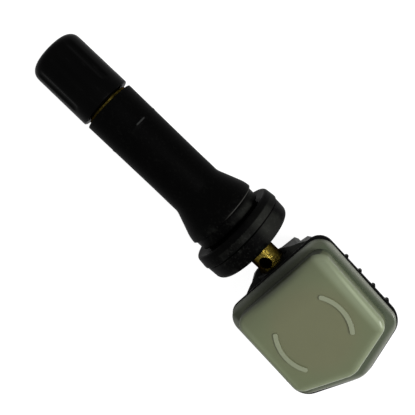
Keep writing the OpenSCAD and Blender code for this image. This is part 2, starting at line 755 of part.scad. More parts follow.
module coil_core() {
    color([0.2, 0.2, 0.21]) in_body() translate([coil_at[0], coil_at[1], board_bottom - coil_w]) {
        for (s = [-1, 1])
            translate([s * (coil_l - coil_cheek) / 2 - coil_cheek / 2, -coil_w / 2, 0])
                cube([coil_cheek, coil_w, coil_w]);
        coil_web(coil_l - coil_cheek);
    }
}

module coil_winding() {
    inset = 0.2;
    color([0.6, 0.35, 0.15]) in_body() translate([coil_at[0], coil_at[1], board_bottom - coil_w])
        difference() {
            translate([-coil_l / 2 + coil_cheek, -coil_w / 2 + inset, inset])
                cube([coil_l - 2 * coil_cheek, coil_w - 2 * inset, coil_w - 2 * inset]);
            coil_web(coil_l);
        }
}

// A strap of sheet metal that stands under the board on two legs
module antenna() {
    strap_t = 0.4;
    strap_w = 0.8;
    color([0.75, 0.6, 0.3]) in_body()
        translate([board_in + edge_in, -board_y + strap_w, board_bottom - antenna_h]) {
            cube([strap_t, 3 * strap_w, antenna_h]);
            cube([antenna_l, strap_w, strap_t]);
            translate([antenna_l - strap_t, 0, 0]) cube([strap_t, strap_w, antenna_h]);
        }
}

module crystal() {
    size = [2.5, 2, 0.9];
    color([0.8, 0.8, 0.82]) in_body() translate([crystal_at[0], crystal_at[1], board_bottom - size[2]])
        cube(size);
}

// Capacitors and resistors in a row beside the crystal
module chip_parts() {
    size = [0.5, 1, 0.5];
    pitch = 1.1;
    color([0.25, 0.2, 0.15]) in_body() for (i = [0:3])
        translate([crystal_at[0] + i * pitch, crystal_at[1] + 2.5, board_bottom - size[2]]) cube(size);
}

valve_cap();
cap_seal();
valve_stem();
valve_rubber();
core_plug();
core_gasket();
core_barrel();
core_pin();
core_cup();
core_spring();
retaining_screw();
housing();
lid();
circuit_board();
coin_cell();
tab_plus();
tab_minus();
sensor_chip();
port_gasket();
port_filter();
coil_core();
coil_winding();
antenna();
crystal();
chip_parts();
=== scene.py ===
import bpy
import json
import math
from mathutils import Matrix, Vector


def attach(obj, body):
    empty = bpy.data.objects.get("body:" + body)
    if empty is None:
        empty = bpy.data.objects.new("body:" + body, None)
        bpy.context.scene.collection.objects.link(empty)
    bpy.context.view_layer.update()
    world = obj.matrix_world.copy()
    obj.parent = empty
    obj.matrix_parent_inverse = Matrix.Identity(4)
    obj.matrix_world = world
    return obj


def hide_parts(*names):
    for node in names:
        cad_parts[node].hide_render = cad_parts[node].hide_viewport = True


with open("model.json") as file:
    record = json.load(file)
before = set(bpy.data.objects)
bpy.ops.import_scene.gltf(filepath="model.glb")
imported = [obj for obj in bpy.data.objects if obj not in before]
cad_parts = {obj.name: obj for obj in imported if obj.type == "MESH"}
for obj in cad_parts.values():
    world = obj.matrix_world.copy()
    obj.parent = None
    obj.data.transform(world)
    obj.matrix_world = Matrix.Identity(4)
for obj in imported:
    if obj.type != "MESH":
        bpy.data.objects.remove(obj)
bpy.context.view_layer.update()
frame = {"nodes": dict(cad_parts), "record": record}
nodes = frame["nodes"]
mm = 0.001
touching = 1e-4                           # points nearer than this are one point, in mm
print("frame loaded,", len(nodes), "nodes")


def deselectAll():
    if bpy.context.object and bpy.context.object.mode != "OBJECT":
        bpy.ops.object.mode_set(mode="OBJECT")
    bpy.ops.object.select_all(action="DESELECT")


def activate(piece):
    deselectAll()
    piece.select_set(True)
    bpy.context.view_layer.objects.active = piece


def editMode():
    bpy.ops.object.mode_set(mode="EDIT")


def objectMode():
    bpy.ops.object.mode_set(mode="OBJECT")


def editAll():                            # into edit mode, with everything selected
    editMode()
    bpy.ops.mesh.select_all(action="SELECT")


def selectPoints(piece, test):           # in edit mode: the points for which test(co in mm) holds
    bpy.ops.mesh.select_mode(type="VERT")
    bpy.ops.mesh.select_all(action="DESELECT")
    objectMode()
    for point in piece.data.vertices:
        point.select = bool(test(point.co / mm))
    editMode()


def selectEdges(piece, test):            # in edit mode: the edges for which test(end, end in mm) holds
    bpy.ops.mesh.select_mode(type="EDGE")
    bpy.ops.mesh.select_all(action="DESELECT")
    objectMode()
    points = piece.data.vertices
    for edge in piece.data.edges:
        edge.select = bool(test(*(points[end].co / mm for end in edge.vertices)))
    editMode()


def placePoints(piece, places):           # each point of a new outline goes to its own place, in mm
    for index, place in enumerate(places):
        start = piece.data.vertices[index].co.copy()
        editMode()
        selectPoints(piece, lambda co: (co - start / mm).length < touching)
        bpy.ops.transform.translate(value=Vector(place) * mm - start)
        objectMode()


def applyModifier(piece, kind, **settings):
    activate(piece)
    modifier = piece.modifiers.new(kind.lower(), kind)
    for key, value in settings.items():
        setattr(modifier, key, value)
    bpy.ops.object.modifier_apply(modifier=modifier.name)


def combine(piece, other, how):
    applyModifier(piece, "BOOLEAN", object=other, operation=how, solver="EXACT")
    bpy.data.objects.remove(other)


def mergeDoubles(distance=0.002):         # in mm
    bpy.ops.mesh.remove_doubles(threshold=distance * mm)


def evenShade(piece):                     # large flat faces stay even beside rounded edges
    applyModifier(piece, "WEIGHTED_NORMAL", keep_sharp=True, weight=80)


def tidySurface(piece, angle=35):         # doubles merged, faces outwards, smooth but for real edges
    activate(piece)
    editAll()
    mergeDoubles()
    bpy.ops.mesh.normals_make_consistent(inside=False)
    objectMode()
    bpy.ops.object.shade_smooth_by_angle(angle=math.radians(angle))


def finishPiece(piece, material, body, node):        # the piece stands for the CAD node
    piece.data.materials.clear()
    piece.data.materials.append(material)
    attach(piece, body)
    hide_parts(node)


def arc(x, r, radius, start, end, steps=8):      # points of a round in a turned profile
    turns = [math.radians(start + (end - start) * i / steps) for i in range(steps + 1)]
    return [(x + radius * math.cos(t), r + radius * math.sin(t)) for t in turns]


def turnedPiece(name, profile, steps):    # profile as (x, radius) in mm, turned about X
    deselectAll()
    bpy.ops.mesh.primitive_plane_add(size=mm, location=(0, 0, 0))
    piece = bpy.context.object
    piece.name = name
    editAll()
    bpy.ops.mesh.merge(type="CENTER")
    x, r = profile[0]
    bpy.ops.transform.translate(value=(x * mm, 0, r * mm))
    route = list(profile) + ([profile[0]] if profile[0][1] > 0 else [])    # a ring, or from axis to axis
    for (x0, r0), (x1, r1) in zip(route, route[1:]):
        bpy.ops.mesh.extrude_region_move(
            TRANSFORM_OT_translate={"value": ((x1 - x0) * mm, 0, (r1 - r0) * mm)})
    bpy.ops.mesh.select_all(action="SELECT")
    mergeDoubles(0.0005)
    bpy.ops.mesh.spin(steps=steps, angle=2 * math.pi, center=(0, 0, 0), axis=(1, 0, 0))
    objectMode()
    tidySurface(piece)
    return piece


def copyOfNode(name, node, bevel):        # a CAD node's copy, merged, with its edges broken
    sharp = math.radians(35)
    piece = bpy.data.objects.new(name, nodes[node].data.copy())
    bpy.context.scene.collection.objects.link(piece)
    activate(piece)
    editAll()
    mergeDoubles()
    bpy.ops.mesh.dissolve_limited(angle_limit=math.radians(0.5))
    objectMode()
    applyModifier(piece, "BEVEL", width=bevel * mm, segments=2, limit_method="ANGLE", angle_limit=sharp,
                  harden_normals=False)
    bpy.ops.object.shade_smooth_by_angle(angle=sharp)
    evenShade(piece)
    return piece


def tone(red, green, blue):              # a colour as a screen shows it, 0 to 255, as light
    levels = [c / 255 for c in (red, green, blue)]
    return [c / 12.92 if c <= 0.04045 else ((c + 0.055) / 1.055) ** 2.4 for c in levels] + [1]


def grey(level):                         # a grey as light, from 0 to 1
    return (level, level, level, 1)


class Value:                             # a socket that sums and products can be written on
    def __init__(self, tree, socket):
        self.tree = tree
        self.socket = socket

    def output(self, name):               # another output of the same node
        return Value(self.tree, self.socket.node.outputs[name])

    def maths(self, operation, first, second=0):
        return self.tree.add("ShaderNodeMath", {"operation": operation}, {0: first, 1: second})

    def __add__(self, other):
        return self.maths("ADD", self, other)

    def __sub__(self, other):
        return self.maths("SUBTRACT", self, other)

    def __rsub__(self, other):
        return self.maths("SUBTRACT", other, self)

    def __mul__(self, other):
        return self.maths("MULTIPLY", self, other)

    def __truediv__(self, other):
        return self.maths("DIVIDE", self, other)

    def __pow__(self, other):
        return self.maths("POWER", self, other)

    __radd__ = __add__
    __rmul__ = __mul__

    def least(self, other):
        return self.maths("MINIMUM", self, other)

    def most(self, other):
        return self.maths("MAXIMUM", self, other)

    def size(self):
        return self.maths("ABSOLUTE", self)


class NodeTree:                          # the nodes of a finish, of the floor or of the world
    def __init__(self, owner):
        owner.use_nodes = True
        self.nodes = owner.node_tree.nodes
        self.links = owner.node_tree.links

    def add(self, kind, settings=None, inputs=None, output=0):
        node = self.nodes.new(kind)
        for key, value in (settings or {}).items():
            if key == "stops":
                self.setStops(node.color_ramp, value)
            else:
                setattr(node, key, value)
        for key, value in (inputs or {}).items():
            if isinstance(value, Value):
                self.links.new(value.socket, node.inputs[key])
            else:
                node.inputs[key].default_value = value
        return Value(self, node.outputs[output]) if node.outputs else None

    def setStops(self, ramp, stops):
        while len(ramp.elements) < len(stops):
            ramp.elements.new(0.5)
        for element, (position, level) in zip(ramp.elements, stops):
            element.position = position
            element.color = grey(level)


class Finish(NodeTree):                  # one material while it is made
    def __init__(self, name, **constants):
        self.material = bpy.data.materials.new(name)
        super().__init__(self.material)
        self.shader = self.nodes["Principled BSDF"]
        for key, value in constants.items():
            self.shader.inputs[key.replace("_", " ")].default_value = value
        self.place = self.add("ShaderNodeTexCoord", output="Object")

    def noise(self, size, detail, place=None, rough=0.5):      # size of a fleck in mm
        return self.add("ShaderNodeTexNoise", {}, {"Vector": place or self.place, "Scale": 1 / (size * mm),
                                                   "Detail": detail, "Roughness": rough}, "Fac")

    def flecks(self, size, detail, rough, low, high, place=None):      # a noise: 0 below low, 1 above high
        return self.ramp(self.noise(size, detail, place, rough), [(low, 0), (high, 1)])

    def bands(self, size, distortion, detail=2):               # waves along x, size in mm
        return self.add("ShaderNodeTexWave", {"bands_direction": "X"},
                        {"Vector": self.place, "Scale": 1 / (size * mm), "Distortion": distortion,
                         "Detail": detail}, "Fac")

    def stretched(self, scale):           # the place for a pattern that is drawn out along an axis
        return self.add("ShaderNodeMapping", {}, {"Vector": self.place, "Scale": scale})

    def ramp(self, value, stops):
        return self.add("ShaderNodeValToRGB", {"stops": stops}, {"Fac": value}, "Color")

    def fade(self, value, start, end, share=1):    # 0 where value is start, share where it is end
        return self.add("ShaderNodeMapRange", {"interpolation_type": "SMOOTHSTEP"},
                        {"Value": value, "From Min": start, "From Max": end, "To Max": share})

    def near(self, value, middle, start, end, share=1):        # the same, by the distance from a middle
        return self.fade((value - middle).size(), start, end, share)

    def blendColours(self, share, first, second):  # each a socket, or a colour as a screen shows it
        first, second = (c if isinstance(c, Value) else tone(*c) for c in (first, second))
        return self.add("ShaderNodeMix", {"data_type": "RGBA"}, {0: share, 6: first, 7: second}, 2)

    def layers(self, base, *coats):       # colours laid over a base one by one, each as (share, colour)
        for share, coat in coats:
            base = self.blendColours(share, base, coat)
        return base

    def parts(self):                      # the three object coordinates, in mm
        split = self.add("ShaderNodeSeparateXYZ", {}, {0: self.place})
        return [split.output(axis) * (1 / mm) for axis in "XYZ"]

    def bump(self, height, depth):        # depth in mm for a height of 1
        return self.add("ShaderNodeBump", {}, {"Strength": 1, "Distance": depth * mm, "Height": height})

    def wire(self, **sockets):
        for key, value in sockets.items():
            self.links.new(value.socket, self.shader.inputs[key.replace("_", " ")])
        return self.material


bodyFrame = {"x": 11.2, "z": 5.86, "tilt": 17}      # the lid's front edge and slope, in mm and degrees


def bodyParts(finish):                    # coordinates along, across and out of the lid, in mm
    x, y, z = finish.parts()
    tilt = math.radians(bodyFrame["tilt"])
    x, z = x - bodyFrame["x"], z - bodyFrame["z"]
    return x * math.cos(tilt) + z * math.sin(tilt), y, z * math.cos(tilt) - x * math.sin(tilt)


# Sizes are in mm. Colours are as a screen shows them, 0 to 255. For a finish, a name with Flecks holds
# what flecks takes, and a pair such as cloud or grain what noise takes. Other groups of two or three
# numbers are mostly what fade or near takes: where the change starts, where it is full, and its share.
# The dark and light places were set against the photo and belong to its light.

rubber = {
    "topX": -30.9, "topR": 5.3, "topEdge": 0.2, "swellR": 5.35, "coneX": -8.4, "coneBend": 3, "coneSlope": 20,
    "bulbX": -2.5, "bulbR": 7.45, "bulbBend": 7, "lip": 0.12, "lipW": 0.5, "neckR": 7.05,
    "grooveW": 0.95, "grooveR": 6.2, "dish": 0.85, "seatEdge": 0.6, "flangeR": 9.15, "stepR": 9.35,
    "flangeT": 2.6, "lineDeep": 0.2, "baseR": 9.15, "baseH": 6.2, "edgeR": 1.3,
    "swellX": (-12.5, -10.6), "bulbTurns": (110, 95), "neckEdge": 0.4, "grooveEdge": 0.3,
    "markX": -24.8, "markH": 0.06,        # the ring mark about the stem, with half its widths
    "markTop": 0.12, "markFoot": 0.35, "markClear": 0.8,
    "upperX": (-29.5, -27.5), "lowerX": (-22.5, -20, -17.5, -15),      # plain rings above and below it
    "mouthR": 3.85, "mouthH": 1.2, "boreR": 3.3, "anchorX": 1, "anchorR": 4.7, "anchorT": 1.8,
    "footR": 3.15, "endR": 2.65, "endH": 0.8,
    # the dust colour serves real dust and also painted sheen: a painted reflection streak and a painted
    # highlight band
    "dark": (1, 1, 1), "light": (3, 3, 3), "dustAndSheen": (44, 45, 42), "line": (96, 96, 92), "markGlint": (50, 51, 50),
    "gloss": 0.013, "roughness": 0.36, "cloud": (5, 4), "grain": (0.25, 2), "waves": (1.4, 2),
    "bump": 0.012, "specksFlecks": (0.5, 5, 0.7, 0.55, 0.72), "smearsFlecks": (2.6, 4, 0.6, 0.5, 0.72),
    "dustShares": (0.35, 0.3, 0.1),       # specks and smears at the foot, specks all over
    "dustX": (-4.5, -1.5), "streakTurn": 45, "streakW": (0.93, 0.995, 0.5), "streakX": (-2.2, -0.8),
    "bandX": 1.85, "bandW": (0.75, 0.6, 0.16), "bandY": (-4, 3), "seatX": 0.45, "seatW": (0.85, 0.6, 0.9),
    # the ring mark's painted glint: its width, turn and span
    "markGlintW": (0.2, 0.08, 0.8), "markGlintTurn": 37, "markGlintSpan": (13, 8),      # turn and span in degrees
    # the lip's painted highlight: its place past the bulb, width and side
    "linePast": 0.1, "lineW": (0.16, 0.04), "lineY": (1, 4), "seamW": (0.22, 0.05),
}


def blackRubber():
    r = rubber
    finish = Finish("black_rubber", Specular_IOR_Level=r["gloss"])
    x, y, z = finish.parts()
    cloud = finish.noise(*r["cloud"])
    grain = finish.noise(*r["grain"])
    specks = finish.flecks(*r["specksFlecks"])
    smears = finish.flecks(*r["smearsFlecks"])
    turn = math.radians(r["streakTurn"])
    across = (y * math.sin(turn) + z * math.cos(turn)) / (y * y + z * z) ** 0.5
    sheenStreak = finish.fade(across, *r["streakW"]) * finish.fade(x, *r["streakX"])      # painted reflection down one side
    band = finish.near(x, r["bandX"], *r["bandW"]) * finish.fade(y, *r["bandY"])     # painted highlight about the flange, lighter towards +Y
    seat = finish.near(x, r["seatX"], *r["seatW"])         # painted shade: the flange's seat edge kept black, without dust or painted sheen
    atFoot, smeared, allOver = r["dustShares"]
    # real dust specks and smears, with the painted reflection streak and the painted highlight band in the same
    # colour
    dustAndSheen = (specks * atFoot + smears * smeared) * finish.fade(x, *r["dustX"]) + specks * allOver + sheenStreak
    dustAndSheen = (dustAndSheen + band) * (1 - seat)
    around = y.maths("ARCTAN2", y, z) * (180 / math.pi)
    # painted glint on the ring mark, over a short span of its turn
    markGlint = finish.near(x, r["markX"], *r["markGlintW"]) * finish.near(around, r["markGlintTurn"], *r["markGlintSpan"])
    # painted highlight along the lip before the neck, towards +Y, broken by the specks
    line = finish.near(x, r["bulbX"] + r["linePast"], *r["lineW"])
    line = line * finish.fade(y, *r["lineY"]) * specks.most(0.4)
    seam = finish.near(x, r["flangeT"], *r["seamW"])       # the parting line kept black: painted shade in its step
    colour = finish.layers(finish.blendColours(cloud, r["dark"], r["light"]),
                           (dustAndSheen, r["dustAndSheen"]), (markGlint, r["markGlint"]), (line, r["line"]), (seam, r["dark"]))
    return finish.wire(
        Base_Color=colour, Roughness=cloud * 0.16 + r["roughness"] + grain * 0.08 + dustAndSheen * 0.2,
        Normal=finish.bump(grain + finish.noise(*r["waves"]) * 0.6, r["bump"]))


def makeRubber(material):
    r = rubber
    top, bulb, flange, base = r["topX"], r["bulbX"], r["flangeT"], r["baseH"]
    shoulder = r["anchorX"] + r["anchorT"]
    land = r["dish"] - r["grooveW"]
    mark, height = r["markX"], r["markH"]
    profile = [(top, r["mouthR"])]
    profile += arc(top + r["topEdge"], r["topR"] - r["topEdge"], r["topEdge"], 180, 90, 5)
    profile += [(x, r["topR"]) for x in (*r["upperX"], mark - r["markClear"], mark - r["markFoot"])]
    profile += [(mark - r["markTop"], r["topR"] + height), (mark + r["markTop"], r["topR"] + height)]
    profile += [(x, r["topR"]) for x in (mark + r["markFoot"], mark + r["markClear"], *r["lowerX"])]
    profile += zip(r["swellX"], ((r["topR"] + r["swellR"]) / 2, r["swellR"]))
    profile += arc(r["coneX"] - 0.9, r["swellR"] + r["coneBend"], r["coneBend"], 270, 270 + r["coneSlope"])
    first, last = r["bulbTurns"]          # in degrees: the bulb's curve ends just before its widest turn
    profile += arc(bulb - r["bulbBend"] * math.cos(math.radians(last)),
                   r["bulbR"] - r["bulbBend"] * math.sin(math.radians(last)), r["bulbBend"], first, last, 6)
    profile += [(bulb + 0.06, r["bulbR"] - 0.02), (bulb + 0.12, r["bulbR"] - 0.08),
                (bulb + 0.2, r["neckR"] + r["lip"] + 0.04),
                (bulb + r["lipW"] / 2 + 0.05, r["neckR"] + r["lip"]), (bulb + r["lipW"], r["neckR"])]
    profile += arc(land - r["neckEdge"], r["neckR"] - r["neckEdge"], r["neckEdge"], 90, 0, 6)
    profile += arc(land + r["grooveEdge"], r["grooveR"] + r["grooveEdge"], r["grooveEdge"], 180, 270, 5)
    profile += [(r["dish"], r["grooveR"])]
    profile += arc(r["seatEdge"], r["flangeR"] - r["seatEdge"], r["seatEdge"], 180, 95, 7)
    profile += [(flange - 0.5, r["stepR"]), (flange - 0.12, r["stepR"]), (flange - 0.04, r["stepR"] - 0.06),
                (flange, r["baseR"] - r["lineDeep"]), (flange + 0.1, r["baseR"] - r["lineDeep"] / 2),
                (flange + 0.22, r["baseR"]), (flange + 1, r["baseR"] - 0.03)]
    profile += arc(base - r["edgeR"], r["baseR"] - r["edgeR"] - 0.1, r["edgeR"], 84, 0, 10)
    profile += [(base, 5), (base, r["endR"]), (base - r["endH"], r["endR"]), (base - r["endH"], r["footR"]),
                (shoulder + 1, r["footR"]), (shoulder, r["anchorR"]), (r["anchorX"], r["anchorR"]),
                (r["anchorX"], r["boreR"]), (top + r["mouthH"], r["boreR"]), (top + r["mouthH"], r["mouthR"])]
    piece = turnedPiece("rubber_body", profile, 128)
    finishPiece(piece, material, "sensor", "valve_rubber")


cap = {
    "rimX": -31.6, "length": 12.95, "r": 5.35, "edgeR": 1.7, "taper": 0.15, "flutes": 8, "fluteDeep": 0.22,
    "fluteTurn": 7,                       # degrees from straight up, towards +Y
    "fluteShape": {0: 1.0, 1: 0.89, 2: 0.57, 3: 0.06},     # depth share by steps from a flute's middle
    "stepsInFlute": 16, "fluteEnds": (2.5, 11.7), "fluteRunOut": 0.9,
    "ringsAt": (1.2, 2.0, 2.5, 2.8, 3.2, 3.7, 4.4, 5.6, 7, 8.5, 9.6, 10.4, 11.0),      # from the rim
    "rimEdge": 0.3, "tipFlatR": 1.2, "boreR": 3.9, "boreX": -41.1, "noseR": 2.6, "noseH": 1.2,
    "dark": (1, 1, 1), "light": (3, 3, 3), "scuff": (34, 34, 34), "gloss": 0.018, "roughness": 0.28,
    "cloud": (6, 3), "grain": (0.18, 2), "bump": 0.008, "scuffsFlecks": (0.8, 5, 0.65, 0.6, 0.75),
}


def blackPlastic():
    c = cap
    finish = Finish("black_plastic", Specular_IOR_Level=c["gloss"])
    cloud = finish.noise(*c["cloud"])
    grain = finish.noise(*c["grain"])
    scuffs = finish.flecks(*c["scuffsFlecks"], finish.stretched((0.3, 1, 1))) * 0.12
    colour = finish.layers(finish.blendColours(cloud, c["dark"], c["light"]), (scuffs, c["scuff"]))
    return finish.wire(Base_Color=colour, Roughness=cloud * 0.1 + grain * 0.06 + scuffs + c["roughness"],
                       Normal=finish.bump(grain, c["bump"]))


def makeCap(material):
    c = cap
    tipX = c["rimX"] - c["length"]
    wall = [c["rimX"] - d for d in c["ringsAt"]]
    profile = [(c["rimX"], c["boreR"])]
    profile += arc(c["rimX"] - c["rimEdge"], c["r"] - c["rimEdge"], c["rimEdge"], 0, 90, 5)
    profile += [(x, c["r"] - c["taper"] * (c["rimX"] - x) / c["length"]) for x in wall]
    profile += arc(tipX + c["edgeR"], c["r"] - c["taper"] - c["edgeR"], c["edgeR"], 90, 180, 10)
    profile += [(tipX, c["tipFlatR"]), (tipX, 0)]
    inner = [(c["boreX"] - c["noseH"], 0), (c["boreX"] - c["noseH"], c["noseR"]),
             (c["boreX"], c["noseR"]), (c["boreX"], c["boreR"])]
    piece = turnedPiece("cap_body", inner + profile, c["stepsInFlute"] * c["flutes"])
    editMode()
    pitch = 360 / c["flutes"]
    step = pitch / c["stepsInFlute"]
    for steps, share in c["fluteShape"].items():
        for x in wall:
            inside = c["rimX"] - x
            near = min(inside - c["fluteEnds"][0], c["fluteEnds"][1] - inside)
            if near <= 0:
                continue
            depth = c["fluteDeep"] * share * min(1, (near / c["fluteRunOut"]) ** 0.5)

            def onFlute(co):
                if abs(co.x - x) > 0.01 or math.hypot(co.y, co.z) < c["r"] - 0.5:
                    return False
                angle = math.degrees(math.atan2(co.y, co.z)) % pitch
                angle = min(angle, pitch - angle)
                return abs(angle - steps * step) < step / 4
            selectPoints(piece, onFlute)
            scale = 1 - depth / c["r"]
            bpy.ops.transform.resize(value=(1, scale, scale), center_override=(x * mm, 0, 0))
    bpy.ops.mesh.select_all(action="SELECT")
    bpy.ops.transform.rotate(value=math.radians(c["fluteTurn"]), orient_axis="X", center_override=(0, 0, 0))
    objectMode()
    tidySurface(piece, 50)
    finishPiece(piece, material, "cap", "valve_cap")


stem = {
    "mouthX": -40.2, "mouthR": 3.85, "threadRoot": 3.46, "pitch": 0.794, "threadTurns": 10.6,
    "boreR": 3.3, "shoulderX": -29.7, "anchorX": 1.0, "anchorT": 1.8, "anchorR": 4.7,
    "footX": 5.4, "footR": 3.15, "bareX": (6.6, 7.6, 8.6, 9.6), "endR": 2.65, "endX": 14.0, "chamfer": 0.3,
    "chamberR": 2.6, "seatX": -35.6, "throatX": -33.6, "throatR": 1.95, "airX": -27.1, "airR": 1.3,
    "holeX": 9.85, "holeR": 1.2, "holeTurn": 9, "sinkDeep": 0.28, "sinkWide": 0.72, "drillPast": 0.5,
    "collarR": 4.4, "collarH": 0.5, "screwBoreX": 11.1, "screwBoreR": 1.55,
    "teeth": 24, "toothH": 0.18, "teethX": (10.62, 11.5),
    "threadFrom": 0.5, "threadLength": 9.7,               # from the mouth
    "threadSteps": 40, "threadHalf": 0.46,                # steps in a turn, and half a ridge in pitches
    "plain": (138, 122, 54), "deep": (94, 79, 27), "stain": (34, 28, 8), "bore": (10, 8, 4),
    "sheen": (160, 138, 76), "roughness": 0.16, "cloud": (1.6, 4), "rings": (0.1, 2), "pits": (0.22, 3),
    "bump": 0.06, "stainFlecks": (0.55, 5, 0.65, 0.45, 0.62),
    # painted shade on the brass: down the flanks, by the flange, under the cap and in the bore
    "flankY": 0.5, "flankW": (0.7, 2.0, 0.75), "flankShadeW": (1.5, 2.3, 0.8), "flankShadeX": (5, 6),
    "footShadeX": (7.6, 6.4, 0.5),
    "capGapShadeX": (-29, -30.5), "capGapShadeY": (3, -2, 0.4), "capGapShade": 0.55,
    "boreDeep": (-0.25, -0.7), "boreFrom": (1, 2),        # from the stem's surface and from its foot
}


def brass():
    s = stem
    finish = Finish("brass", Metallic=1.0, Specular_Tint=tone(*s["sheen"]))
    x, y, z = finish.parts()
    cloud = finish.noise(*s["cloud"])
    rings = finish.noise(*s["rings"], finish.stretched((1, 0.03, 0.03)))       # marks of the turning
    pits = finish.noise(*s["pits"])
    stain = finish.flecks(*s["stainFlecks"])
    aside = (y - s["flankY"]).size()
    # painted shade: darker down the flanks, by the flange and in the gap under the cap, more towards -Y
    underCap = finish.fade(x, *s["capGapShadeX"]) * (finish.fade(y, *s["capGapShadeY"]) + s["capGapShade"])
    brassShade = finish.fade(aside, *s["flankW"]).most(finish.fade(x, *s["footShadeX"])).most(underCap)
    side = finish.fade(aside, *s["flankShadeW"]) * finish.fade(x, *s["flankShadeX"])             # painted shade, darkest down both flanks
    inside = finish.fade((y * y + z * z) ** 0.5 - s["endR"], *s["boreDeep"]) \
        * finish.fade(x - s["footX"], *s["boreFrom"])      # painted shade inside the air hole
    # the stain colour paints real stains and also the painted shade; the bore colour paints the deepest painted
    # shade
    colour = finish.layers(finish.blendColours(cloud, s["plain"], s["deep"]), (stain * 0.75, s["stain"]),
                           (brassShade, s["stain"]), (side, s["bore"]), (inside, s["bore"]))
    return finish.wire(
        Base_Color=colour, Roughness=stain * 0.2 + rings * 0.1 + inside.most(brassShade) * 0.4 + s["roughness"],
        Normal=finish.bump(rings * 0.5 + pits, s["bump"]))


def makeStem(material):
    s = stem
    low, high = s["teethX"]
    endOfThread = s["mouthX"] + s["threadLength"]
    top = rubber["topX"]
    mouth, anchorEnd = s["mouthX"], s["anchorX"] + s["anchorT"]
    profile = [(s["holeX"], 0), (s["holeX"], s["airR"]), (s["airX"], s["airR"]),
               (s["airX"] - 0.8, s["throatR"]), (s["throatX"], s["throatR"]), (s["seatX"], s["chamberR"]),
               (mouth + 0.3, s["chamberR"]), (mouth, s["chamberR"] + 0.2), (mouth, s["threadRoot"] - 0.12),
               (mouth + 0.12, s["threadRoot"]),
               (endOfThread, s["threadRoot"]), (endOfThread + 0.3, s["mouthR"]),
               (top - s["collarH"], s["mouthR"]), (top - s["collarH"], s["collarR"] - 0.1),
               (top - s["collarH"] + 0.1, s["collarR"]), (top, s["collarR"]), (top, s["mouthR"]),
               (s["shoulderX"], s["mouthR"]), (s["shoulderX"], s["boreR"]), (s["anchorX"], s["boreR"]),
               (s["anchorX"], s["anchorR"]), (anchorEnd, s["anchorR"]), (anchorEnd + 1, s["footR"]),
               (s["footX"], s["footR"]), (s["footX"], s["endR"])]
    profile += [(x, s["endR"]) for x in (*s["bareX"], low - 0.12, low - 0.06)]
    profile += [(low, s["endR"] + 0.001), (low + 0.06, s["endR"] + 0.002), (high, s["endR"] + 0.002),
                (high + 0.05, s["endR"]), (s["endX"] - s["chamfer"], s["endR"]),
                (s["endX"], s["endR"] - s["chamfer"]), (s["endX"], s["screwBoreR"]),
                (s["screwBoreX"], s["screwBoreR"]), (s["screwBoreX"], 0)]
    piece = turnedPiece("brass_stem", profile, 4 * s["teeth"])
    activate(piece)
    editMode()

    def onTooth(co):
        if co.x < low + 0.03 or co.x > high + 0.02 or math.hypot(co.y, co.z) < s["endR"] - 0.05:
            return False
        share = (math.degrees(math.atan2(co.y, co.z)) / (360 / s["teeth"])) % 1
        return share < 0.4
    selectPoints(piece, onTooth)
    scale = 1 + s["toothH"] / s["endR"]
    bpy.ops.transform.resize(value=(1, scale, scale), center_override=(0, 0, 0))
    objectMode()
    past = s["endR"] + s["drillPast"]
    drill = turnedPiece("drill", [(0, 0), (0, s["holeR"]), (s["endR"] - s["sinkDeep"], s["holeR"]),
                                  (past, s["holeR"] + s["sinkWide"]), (past, 0)], 48)
    drill.rotation_euler = (0, -math.pi / 2, 0)            # in two steps: upright, then about the stem
    bpy.ops.object.transform_apply(location=True, rotation=True, scale=True)
    drill.rotation_euler = (math.radians(s["holeTurn"]), 0, 0)
    drill.location = (s["holeX"] * mm, 0, 0)
    bpy.ops.object.transform_apply(location=True, rotation=True, scale=True)
    combine(piece, drill, "DIFFERENCE")
    combine(piece, makeThread(), "UNION")
    tidySurface(piece, 30)
    finishPiece(piece, material, "sensor", "valve_stem")


def makeThread():                         # one ridge wound round the mouth
    s = stem
    deselectAll()
    bpy.ops.mesh.primitive_circle_add(vertices=3, radius=mm, fill_type="NOTHING", location=(0, 0, 0))
    ridge = bpy.context.object
    ridge.name = "thread"
    half = s["pitch"] * s["threadHalf"]
    start = s["mouthX"] + s["threadFrom"]
    root = s["threadRoot"] - 0.08         # a little inside the stem, so that the two join
    placePoints(ridge, [(start - half, 0, root), (start + half, 0, root), (start, 0, s["mouthR"])])
    steps = int(s["threadSteps"] * s["threadTurns"])
    applyModifier(ridge, "SCREW", axis="X", angle=2 * math.pi * s["threadTurns"],
                  screw_offset=s["pitch"] * s["threadTurns"] * mm, steps=steps, render_steps=steps,
                  use_smooth_shade=False)
    editAll()
    bpy.ops.mesh.fill_holes(sides=4)
    objectMode()
    tidySurface(ridge)
    return ridge


lid = {
    "width": 22.8, "length": 19.9, "tip": 3.7, "ringT": 0.9, "ringEdge": 0.45, "ringShow": 1.3,
    "ringOver": (0, 0.15, 0.3),           # how far the ring laps over in front, at the sides and at the tip
    "ringSkew": ((-0.25, -0.75), (-0.35, 0), (0, 0), (0, -0.15), (0, 0.15)),    # each corner moved to its
    "domeSkew": ((0.12, -0.6), (-0.5, -0.05), (-0.4, 0), (-0.25, 0.05), (0.18, 0.45)),    # place in the photo
    "domeH": 4.4, "lean": 0.2, "edgeR": 0.9, "wall": 1.1,
    "ringR": (3.2, 3.2, 7.2, 3.2, 3.2), "domeR": (2.6, 2.6, 6.5, 2.6, 2.6), "hollowR": (1.4, 1, 5, 1, 1.4),
    "cellU": 11.4, "cellR": 8.05,
    "arcR": 6.55, "arcU": 11.9, "arcY": -0.5, "arcW": 0.85, "arcH": 0.25, "arcSpan": 78, "arcEdge": 0.14,
    "arcSink": 0.4,
}

